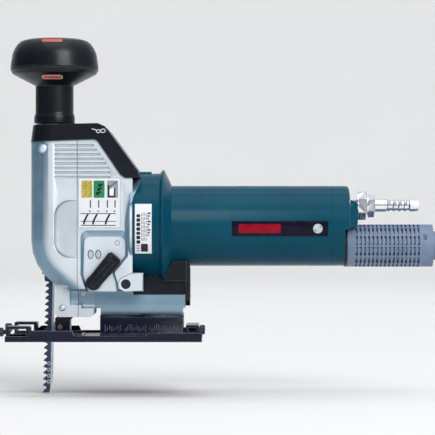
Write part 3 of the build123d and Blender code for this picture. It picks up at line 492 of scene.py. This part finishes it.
for node_name, node in nodes.items():
    node.data.materials.clear()
    node.data.materials.append(MATERIALS[slot_of_node[node_name]])
# Painted light: the core takes the lighter copy of the silencer grey
nodes["silencer_core"].data.materials[0] = silencer_core_lit_grey


# ------------------------------------------------------------------ printed marks

def setting_marks():
    """Selector chart on the gear head: three colour fields with plain figures, pointers and stroke lines."""
    label_low, label_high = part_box("setting_label")
    place = side_place(label_low.y)
    left = label_low.x / MM
    top = label_high.z / MM
    fields = (("yellow", 1.6, ink_yellow), ("green", 9.4, ink_green), ("grey", 17.9, ink_grey))
    for name, offset, ink in fields:
        bm = bmesh.new()
        start = left + offset
        patch(bm, start, start + 7.0, top - 12.3, top - 1.4, 0, PRINT_HEIGHT, place, 0.15, 4)
        new_piece("chart_" + name, bm, "housing", "label_film", ink)
    over_fields = (PRINT_HEIGHT / 2, 2 * PRINT_HEIGHT)
    flecks = []
    for row in range(6):
        for column in range(4):
            x = left + 2.3 + column * 1.5 + 0.4 * (row % 2)
            z = top - 11.6 + row * 1.75
            flecks.append(stroke(x, z, x + 0.9, z + (1.1 if column % 2 else -0.7) + 0.4, 0.5))
    print_piece("chart_flecks", flecks, place, "housing", "label_film", ink_brown, *over_fields)
    figures = []
    for step in range(3):
        x = left + 10.9 + step * 0.7
        z = top - 9.8 + step * 2.5
        figures.append(stroke(x, z, x + 3.2, z + 1.2, 1.1))
        figures.append(stroke(x + 0.6, z + 1.4, x + 1.6, z - 0.9, 0.8))
    figures.append(stroke(left + 18.9, top - 4.2, left + 18.9, top - 11.6, 0.9))
    figures.append(stroke(left + 18.5, top - 11.6, left + 23.0, top - 11.6, 0.9))
    figures.append(stroke(left + 22.6, top - 11.8, left + 22.9, top - 6.0, 0.8))
    figures.append(stroke(left + 18.2, top - 6.4, left + 24.4, top - 2.0, 0.5))
    print_piece("chart_figures", figures, place, "housing", "label_film", ink_black, *over_fields)
    # White patch on the chart: a painted reflection
    sheen = [(left + 19.6, top - 10.9), (left + 22.0, top - 10.9), (left + 22.2, top - 5.6),
             (left + 19.6, top - 7.2)]
    print_piece("chart_sheen", [sheen], place, "housing", "label_film", ink_white, *over_fields)
    lines = []
    for offset in (7.4, 12.7, 18.2, 23.0):
        lines.append(box_outline(left + offset - 0.35, left + offset + 0.35, top - 18.6, top - 13.8))
        lines.append(ring(left + offset - 0.4, top - 20.8, 0.55, 0.5, 10))
    for drop, width in ((22.3, 0.45), (27.2, 0.4), (29.8, 0.5)):
        lines.append(stroke(left + 1.2, top - drop, left + 23.6, top - drop, width))
    print_piece("chart_lines", lines, place, "housing", "label_film", ink_black)
    strokes = []
    for offset in (5.8, 11.6, 19.6):
        x = left + offset
        strokes.append([(x - 0.6, top - 22.6), (x + 0.7, top - 22.6), (x - 1.3, top - 26.4),
                        (x - 2.1, top - 29.2), (x - 3.2, top - 29.2), (x - 2.6, top - 26.4)])
    print_piece("chart_strokes", strokes, place, "housing", "label_film", ink_black, *over_fields)


def rating_marks():
    """Plain bars on the rating plate, in place of any lettering."""
    low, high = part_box("rating_plate")
    place = barrel_place(COLLAR_LABEL_RADIUS, MOTOR_Z)
    left, bottom, top = low.x / MM, low.z / MM, high.z / MM
    bm = bmesh.new()
    height = top - bottom
    blocks = ((0.20, 0.27), (0.29, 0.36), (0.38, 0.44), (0.46, 0.53), (0.55, 0.62), (0.64, 0.71),
              (0.73, 0.79))
    for start, end in blocks:
        low_z, high_z = bottom + start * height, bottom + end * height
        patch(bm, left + 1.0, left + 3.4, low_z, high_z, 0, PRINT_HEIGHT, place, 0.3, 4)
    for row in range(9):
        z = bottom + 11.0 + row * 1.75
        patch(bm, left + 8.0, left + 8.8 + 0.6 * (row % 3), z, z + 0.95, 0, PRINT_HEIGHT, place, 0, 3)
    patch(bm, left + 3.8, left + 8.2, bottom + 1.2, bottom + 6.2, 0, PRINT_HEIGHT, place, 0.4, 8)
    new_piece("rating_blocks", bm, "housing", "label_film", ink_black)
    bm = bmesh.new()
    for column in range(4):
        for row in range(7):
            z = bottom + 8.2 + row * 2.6
            patch(bm, left + 4.0 + column, left + 4.5 + column, z, z + 1.7 + 0.3 * ((row + column) % 3), 0,
                  PRINT_HEIGHT, place, 0, 3)
    for row in range(3):
        z = bottom + 1.4 + row * 1.6
        patch(bm, left + 1.0, left + 3.0, z, z + 0.8, 0, PRINT_HEIGHT, place, 0, 3)
    new_piece("rating_rules", bm, "housing", "label_film", ink_grey)


def badge_marks():
    """Plain red bar and a plain pale dot on the dark strip."""
    low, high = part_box("badge_strip")
    left, bottom, top = low.x / MM, low.z / MM, high.z / MM
    place = barrel_place(BARREL_LABEL_RADIUS, MOTOR_Z)
    bm = bmesh.new()
    patch(bm, left + 4.2, left + 31.0, bottom + 1.9, top - 1.9, 0, PRINT_HEIGHT, place, 0.6)
    new_piece("badge_bar", bm, "housing", "badge_black", ink_red)
    dot = ring(left + 54.5, (bottom + top) / 2, 3.0, 3.0, 32)
    print_piece("badge_dot", [dot], place, "housing", "badge_black", ink_pale)


def cover_mark():
    """Two plain rings and a pointer on the cover's side."""
    place = side_place(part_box("head_cover")[0].y)
    bm = bmesh.new()
    oval_band(bm, -1.5, 133.0, 1.5, 1.15, 0.4, -0.02 * MM, PRINT_HEIGHT, place)
    oval_band(bm, 1.4, 133.3, 1.6, 1.3, 0.4, -0.02 * MM, PRINT_HEIGHT, place)
    slab(bm, stroke(-5.6, 134.6, -2.9, 133.8, 0.45), -0.02 * MM, PRINT_HEIGHT, place)
    new_piece("lock_mark", bm, "housing", "black_moulding", ink_white)


def selector_marks():
    """Cast ovals and dimple on the floor of the selector's panel with painted shadow rings round them, and
    the pad round the rear ear's eye with painted shade in the eye.
    """
    side_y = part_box("setting_label")[1].y
    place = side_place(side_y + PANEL_DEPTH)
    # Dark rings round the ovals and dimple: painted shadow
    bm = bmesh.new()
    for x in (-6.6, -1.8):
        oval_band(bm, x, 55.0, 1.85, 2.9, 0.75, -0.1 * MM, 0.12 * MM, place)
    oval_band(bm, 10.3, 62.3, 1.5, 1.5, 0.22, -0.1 * MM, 0.08 * MM, place)
    new_piece("selector_shadow_rings", bm, "housing", "cast_alloy", cast_shadow, 40)
    bm = bmesh.new()
    for x in (-6.6, -1.8):
        oval_band(bm, x + 0.1, 54.9, 1.25, 2.3, 0.45, -0.1 * MM, 0.3 * MM, place)
    new_piece("selector_ovals", bm, "housing", "cast_alloy", None, 40)
    place = side_place(side_y)
    pad = [(26.6, 31.9), (26.6, 43.2), (19.4, 43.2)]
    for step in range(13):
        angle = math.radians(100 + 170 * step / 12)
        pad.append((EAR_EYE[0] + 4.9 * math.cos(angle), EAR_EYE[1] + 4.9 * math.sin(angle)))
    bm = bmesh.new()
    slab(bm, pad, -0.9 * MM, 0.35 * MM, place)
    bevelled(new_piece("ear_pad", bm, "housing", "cast_alloy", None, 21), 0.3 * MM)
    # Black disc: painted shade in the hollow of the ear's eye
    bm = bmesh.new()
    slab(bm, ring(*EAR_EYE, 3.1, 3.1, 32), 0.30 * MM, 0.38 * MM, place)
    new_piece("ear_eye_shade", bm, "housing", "cast_alloy", ink_black)


def turned_place(side, slope_radius, slope_z, slope, lean):
    """Places (x, radius) millimetres on a cone about the knob's line.

    The cone passes slope_z at slope_radius and rises by slope for each unit of radius; lean is how far a
    height above the surface counts upwards.
    """
    outward = 18

    def place(x, radius, h):
        z = slope_z + (radius - slope_radius) * slope
        reach = math.sqrt(radius * radius - x * x)
        return ((KNOB_X + x) * MM, side * reach * MM * (1 + h * outward), z * MM + h * lean)
    return place


def knob_place(side):
    """Cone under the knob."""
    return turned_place(side, 12.25, 163.2, 7.5 / 14.65, -0.89)


def shoulder_place(side):
    """Sloping shoulder on top of the knob."""
    return turned_place(side, 21.5, 191.9, -2.1 / 2.4, 0.7)


def knob_marks():
    """Red grip marks with a pale rim, under the knob and on its shoulder, front and back of the turn."""
    half = 6.6
    low, rim_height, fill_height = 0.02 * MM, 0.22 * MM, 0.30 * MM
    for side, name in ((-1, "left"), (1, "right")):
        place = knob_place(side)
        layers = (("rim", ink_rose, 0.0, rim_height), ("fill", MATERIALS["signal_red"], -0.6, fill_height))
        for mark, ink, grow, height in layers:
            bm = bmesh.new()
            edge, corner = half + grow, 1.6 + grow
            patch(bm, -edge, edge, 19.2 - grow, 23.6 + grow, low, height, place, corner, 10)
            piece = new_piece(f"grip_mark_{mark}_{name}", bm, "knob", "signal_red", ink, 40)
            if mark == "rim":
                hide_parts("knob_marks")
        bm = bmesh.new()
        patch(bm, -half, half, 21.7, 23.7, low, rim_height, shoulder_place(side), 0.8, 10)
        new_piece(f"shoulder_mark_{name}", bm, "knob", "signal_red", None, 40)


def saddle_marks():
    """Plain graduation along both flanks of the foot's saddle."""
    low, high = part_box("foot_saddle")
    for side, name in ((-1, "left"), (1, "right")):
        def place(x, z, h, side=side):
            return (x * MM, side * (SADDLE_FLANK * MM + h), z * MM)
        marks = []
        for step in range(34):
            x = low.x / MM + 3.0 + step * 1.42
            base = 5.6 + 0.7 * (step * 7 % 3)
            tall = 4.6 if step % 6 == 0 else 1.6 + 0.7 * (step * 5 % 4)
            if step % 11 != 8:
                marks.append(box_outline(x, x + 0.55, base, base + tall))
        print_piece("bevel_scale_" + name, marks, place, "foot", "black_steel", scale_ink, -0.02 * MM)


def saddle_rim_highlights():
    """Bright metal strips along the shoulder of the saddle, standing for a painted highlight, with a break
    in the middle.
    """
    low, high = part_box("foot_saddle")
    across, out = (0.793, -0.610), (0.610, 0.793)
    start_y, start_z = 18.0 + out[0] * SADDLE_SHEET / 2, 15.3 + out[1] * SADDLE_SHEET / 2
    # Bright strips stand for a painted highlight on the saddle's shoulder
    bm = bmesh.new()
    for side in (-1, 1):
        for start, end in ((low.x / MM + 0.8, low.x / MM + 23.0), (low.x / MM + 28.5, high.x / MM - 0.8)):
            sections = []
            for step in range(17):
                t = step / 16
                width = math.sin(math.pi * t) ** 0.6
                x = start + (end - start) * t
                near, far = 0.75 - 0.5 * width + 0.15 * math.sin(9 * t), 0.85 + 0.75 * width
                section = []
                for run, rise in ((near, -0.15), (near, 0.1), (far, 0.1), (far, -0.15)):
                    y = start_y + across[0] * run + out[0] * rise
                    z = start_z + across[1] * run + out[1] * rise
                    section.append(bm.verts.new((x * MM, side * y * MM, z * MM)))
                sections.append(section)
            for first, second in zip(sections, sections[1:]):
                for k in range(4):
                    m = (k + 1) % 4
                    bm.faces.new((first[k], first[m], second[m], second[k]))
            bm.faces.new(sections[0])
            bm.faces.new(sections[-1])
    new_piece("saddle_rim_highlights", bm, "foot", "black_steel", MATERIALS["machined_steel"], 50)


def lever_rib():
    """Raised spine along the grip of the selector lever."""
    face_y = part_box("selector_lever")[0].y

    def place(u, v, h):
        x = LEVER_PIVOT[0] + u * math.cos(LEVER_ANGLE) - v * math.sin(LEVER_ANGLE)
        z = LEVER_PIVOT[1] + u * math.sin(LEVER_ANGLE) + v * math.cos(LEVER_ANGLE)
        return (x * MM, face_y - h, z * MM)
    bm = bmesh.new()
    slab(bm, [(-2.4, -1.9), (18.6, -2.3), (18.6, 1.2), (-2.4, 1.6)], -0.3 * MM, 0.55 * MM, place)
    slab(bm, [(16.4, 1.8), (20.9, 1.8), (20.9, 3.6), (16.4, 3.6)], -0.3 * MM, 0.35 * MM, place)
    piece = new_piece("lever_rib", bm, "selector", "black_moulding", None, 21)
    bevelled(piece, 0.25 * MM)


setting_marks()
rating_marks()
badge_marks()
cover_mark()
selector_marks()
knob_marks()
saddle_marks()
saddle_rim_highlights()
lever_rib()


# ------------------------------------------------------------------ blade and screws

def saw_blade():
    """Dark-toned blade with teeth bent left and right in turn, which stands for the plain one."""
    pitch, count, tip_z, lean = 4.0, 18, -34.6, 0.0244
    half, set_out = 0.5, 0.15
    bm = bmesh.new()

    def front(z):
        return -39.0 + (z - tip_z) * lean

    def back(z):
        return -32.2 + (z + 26.0) * 0.0161 if z > -26 else -32.2 - (-26.0 - z) * 0.304

    # Rise above a tooth's tip and depth behind it, along the gullet to the next tooth
    gullet = ((1.9, 0.9), (2.7, 2.1), (3.2, 2.6), (4.1, 1.9))
    rows = []
    for tooth in range(count):
        z = tip_z + tooth * pitch
        rows.append((z + 0.6 if tooth else z, front(z), tooth))
        for rise, depth in gullet:
            rows.append((z + rise, front(z) + depth, None))
    rows = rows[:-1] + [(37.6, -37.7, None), (51.0, -37.9, None)]
    columns = []
    for z, edge_x, tooth in rows:
        lean_y = 0.0 if tooth is None else (set_out if tooth % 2 else -set_out)
        mid_x = edge_x + 2.6 if tooth is not None else max(edge_x + 0.9, -36.0)
        line = [(edge_x, lean_y), (mid_x, 0.0), (back(z) - 1.6, 0.0), (back(z), 0.0)]
        sides = []
        for face in (-1, 1):
            sides.append([bm.verts.new((x * MM, (y + face * half) * MM, z * MM)) for x, y in line])
        columns.append(sides)
    for low, high in zip(columns, columns[1:]):
        for face in (0, 1):
            for k in range(3):
                bm.faces.new((low[face][k], low[face][k + 1], high[face][k + 1], high[face][k]))
        for k in (0, 3):
            bm.faces.new((low[0][k], high[0][k], high[1][k], low[1][k]))
    for end in (columns[0], columns[-1]):
        for k in range(3):
            bm.faces.new((end[0][k], end[0][k + 1], end[1][k + 1], end[1][k]))
    piece = new_piece("saw_blade_set", bm, "plunger", "blade_steel")
    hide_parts("saw_blade")


def turned_head(bm, centre, direction, profile, flutes=0, flute_depth=0.0, turns=48):
    """Adds a closed turned shape along X or Y, with optional flutes round its rim."""
    axis = Vector(direction)
    across = Vector((0, 0, 1))
    other = axis.cross(across)
    loops = []
    for along, radius in profile:
        loop = []
        for step in range(turns):
            angle = 2 * math.pi * step / turns
            cut = flute_depth * (0.5 - 0.5 * math.cos(flutes * angle)) if flutes else 0.0
            reach = max(radius - cut, 0.05)
            offset = across * math.cos(angle) * reach + other * math.sin(angle) * reach
            loop.append(bm.verts.new(Vector(centre) * MM + (axis * along + offset) * MM))
        loops.append(loop)
    bm.faces.new(loops[0])
    bm.faces.new(loops[-1])
    for low, high in zip(loops, loops[1:]):
        for i in range(turns):
            j = (i + 1) % turns
            bm.faces.new((low[i], low[j], high[j], high[i]))


def thumb_screw(bm, x, y, direction, neck, head, flute_depth):
    """Adds a short neck with a collar and the fluted head beyond it."""
    centre = (x, y, THUMB_SCREW_Z)
    turned_head(bm, centre, direction, neck, turns=24)
    turned_head(bm, centre, direction, head, flutes=12, flute_depth=flute_depth, turns=72)


def thumb_screws():
    """Fluted clamping screws of the guide brackets, which stand for the plain ones."""
    bm = bmesh.new()
    front_neck = [(0.2, 0.3), (0.2, 1.5), (3.9, 1.5), (3.9, 2.0)]
    front_head = [(3.9, 2.3), (4.3, 2.85), (7.6, 2.85), (8.2, 2.3), (8.3, 1.2)]
    rear_neck = [(0.0, 0.3), (0.0, 1.5), (1.4, 1.5), (1.4, 1.8)]
    rear_head = [(1.4, 2.1), (1.7, 2.55), (4.3, 2.55), (4.8, 2.1), (4.9, 1.0)]
    for y in (-30, 30):
        thumb_screw(bm, -57.6, y, (-1, 0, 0), front_neck, front_head, 0.35)
    for y in (-11, 11):
        thumb_screw(bm, 61.0, y, (1, 0, 0), rear_neck, rear_head, 0.3)
    piece = new_piece("thumb_screws", bm, "foot", "black_steel", smooth_angle=35)
    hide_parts("guide_screws")


def dome_screws():
    """Domed plugs of the cover and the small screws of the cheeks."""
    bm = bmesh.new()
    for side in (-1, 1):
        dome = [(-6.5, 1.5), (-1.2, 1.55), (-1.2, 3.3), (0.3, 3.6), (0.9, 3.2), (1.4, 2.2), (1.6, 0.8)]
        turned_head(bm, (-36.7, 26.2 * side, 122.1), (0, side, 0), dome, turns=36)
    piece = new_piece("cover_plugs", bm, "housing", "machined_steel", MATERIALS["cast_alloy"], 40)
    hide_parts("cover_screws")
    bm = bmesh.new()
    for side in (-1, 1):
        head = [(-0.6, 1.0), (-0.6, 1.9), (0.25, 1.9), (0.5, 1.6), (0.55, 0.6)]
        turned_head(bm, (-25.2, 17.0 * side, 20.7), (0, side, 0), head, turns=24)
        eye = [(-0.6, 0.4), (-0.6, 1.3), (0.2, 1.3), (0.3, 0.9)]
        turned_head(bm, (-22.7, 17.0 * side, 32.2), (0, side, 0), eye, turns=24)
    new_piece("cheek_screws", bm, "housing", "cast_alloy", None, 40)


def blade_marks():
    """Plain pale rings near the tip of the blade, on both faces."""
    bm = bmesh.new()
    for side in (-1, 1):
        for z in (-27.5, -23.6, -19.7, -15.8):
            oval_band(bm, -35.2 + (z + 27.5) * 0.02, z, 0.95, 1.2, 0.35, -0.02 * MM, PRINT_HEIGHT,
                      lambda x, z, h, side=side: (x * MM, side * (0.5 * MM + h), z * MM))
    new_piece("blade_marks", bm, "plunger", "blade_steel", ink_white)


saw_blade()
blade_marks()
thumb_screws()
dome_screws()


# ------------------------------------------------------------------ studio

def backdrop():
    """Pale floor that curves up into a wall well behind every camera."""
    floor_z = cad_box[0].z - 0.0006
    flat_end, bend, height, half_width = 2.8, 1.0, 3.6, 6.0
    profile = [(-7.0, floor_z), (flat_end, floor_z)]
    for step in range(1, 13):
        turn = math.radians(90) * step / 12
        profile.append((flat_end + bend * math.sin(turn), floor_z + bend * (1 - math.cos(turn))))
    profile.append((flat_end + bend, floor_z + height))
    mesh = bpy.data.meshes.new("backdrop_mesh")
    bm = bmesh.new()
    rails = [[bm.verts.new((x, y, z)) for y, z in profile] for x in (-half_width, half_width)]
    for i in range(len(profile) - 1):
        bm.faces.new((rails[0][i], rails[0][i + 1], rails[1][i + 1], rails[1][i])).smooth = True
    bm.to_mesh(mesh)
    bm.free()
    floor = bpy.data.objects.new("backdrop", mesh)
    bpy.context.scene.collection.objects.link(floor)
    s = Shader("backdrop_paper", Specular_IOR_Level=0.1)
    s.base(s.ramp(s.noise(3, 3), 0.3, 0.7, (0.79, 0.775, 0.755), (0.81, 0.795, 0.775)))
    s.rough(s.spread(s.noise(40, 3), 0.3, 0.7, 0.85, 0.95))
    mesh.materials.append(s.material)


def area_light(name, place, target, size, power, colour=(1, 1, 1)):
    light = bpy.data.lights.new(name, "AREA")
    light.shape = "RECTANGLE"
    light.size, light.size_y = size
    light.energy = power
    light.color = colour
    lamp = bpy.data.objects.new(name, light)
    bpy.context.scene.collection.objects.link(lamp)
    lamp.location = place
    lamp.rotation_euler = (Vector(target) - Vector(place)).to_track_quat("-Z", "Y").to_euler()


def studio_air():
    """Soft surround: bright overhead and to the right, dim and blue to the left, grey in front."""
    world = bpy.data.worlds.new("studio_air")
    bpy.context.scene.world = world
    world.use_nodes = True
    tree = world.node_tree
    background = tree.nodes["Background"]
    direction = tree.nodes.new("ShaderNodeTexCoord").outputs["Generated"]
    parts = tree.nodes.new("ShaderNodeSeparateXYZ")
    tree.links.new(direction, parts.inputs[0])

    def tones(axis, low, high, low_colour, high_colour):
        span = tree.nodes.new("ShaderNodeMapRange")
        span.inputs["From Min"].default_value = low
        span.inputs["From Max"].default_value = high
        tree.links.new(parts.outputs[axis], span.inputs["Value"])
        mix = tree.nodes.new("ShaderNodeMix")
        mix.data_type = "RGBA"
        tree.links.new(span.outputs["Result"], mix.inputs["Factor"])
        sockets = [i for i in mix.inputs if i.type == "RGBA"]
        for socket, colour in zip(sockets, (low_colour, high_colour)):
            if isinstance(colour, tuple):
                socket.default_value = (*colour, 1)
            else:
                tree.links.new(colour, socket)
        return [o for o in mix.outputs if o.type == "RGBA"][0]

    sides = tones("X", -0.75, 0.15, (0.05, 0.09, 0.15), (0.24, 0.27, 0.31))
    whole = tones("Z", 0.25, 0.85, sides, (0.70, 0.74, 0.80))
    tree.links.new(whole, background.inputs["Color"])
    background.inputs["Strength"].default_value = 1.0


def studio():
    backdrop()
    studio_air()
    middle = (0.07, 0, 0.08)
    area_light("overhead", (0.15, -0.5, 2.2), middle, (1.8, 1.4), 12)
    area_light("key", (1.3, -2.2, 1.5), middle, (1.5, 1.5), 62)
    area_light("wall_wash", (0.0, 1.0, 2.6), (0.0, 3.8, 0.9), (4.0, 0.8), 42)
    bpy.context.scene.view_settings.view_transform = "Standard"


def camera():
    """Level camera on the tool's left, at the height of the barrel's top."""
    data = bpy.data.cameras.new("camera")
    data.sensor_width = 36.0
    data.lens = 189.8
    data.clip_start, data.clip_end = 0.05, 30
    cam = bpy.data.objects.new("camera", data)
    bpy.context.scene.collection.objects.link(cam)
    cam.location = (0.07385, -1.480, 0.0784)
    cam.rotation_euler = (math.radians(90), 0, 0)
    bpy.context.scene.camera = cam


studio()
camera()
